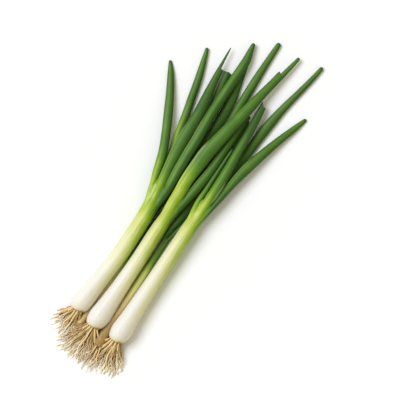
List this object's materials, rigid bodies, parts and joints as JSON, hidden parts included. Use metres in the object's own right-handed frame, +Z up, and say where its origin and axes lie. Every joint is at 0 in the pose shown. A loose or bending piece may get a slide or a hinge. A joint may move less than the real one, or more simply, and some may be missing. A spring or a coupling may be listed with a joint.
{
  "type": "spring onion bunch",
  "caption": "Loose bunch of five spring onions lying side by side, with rooted white bulbs, pale shanks and green tubular leaves fanning out.",
  "frame": {"origin": "bottom centre of the bounding box, on the surface the bunch lies on", "axes": "+Y from the roots to the leaf tips, +X to the right seen from above with the tips away from the viewer, +Z up"},
  "size_m": [0.1336, 0.3448, 0.0193],
  "materials": {
    "shank": "moist satin onion skin, white at the bulb and pale green towards the leaves",
    "leaf": "satin green leaf with fine lengthwise veins and a thin waxy bloom",
    "root": "matte tan root fibres"
  },
  "bodies": {
    "root": {"roots_left": "root", "shank_left": "shank", "leaf_left_outer": "leaf", "leaf_left_torn": "leaf", "leaf_left_inner": "leaf", "leaf_left_low": "leaf", "leaf_left_blunt": "leaf", "roots_middle": "root", "shank_middle": "shank", "leaf_middle_main": "leaf", "leaf_middle_side": "leaf", "roots_tucked": "root", "shank_tucked": "shank", "leaf_tucked_low": "leaf", "leaf_tucked_under": "leaf", "roots_right": "root", "shank_right": "shank", "leaf_right_slim": "leaf", "leaf_right_cut": "leaf", "leaf_right_outer": "leaf", "roots_thin": "root", "shank_thin": "shank", "leaf_thin_short": "leaf", "leaf_thin_long": "leaf"}
  },
  "joints": []
}
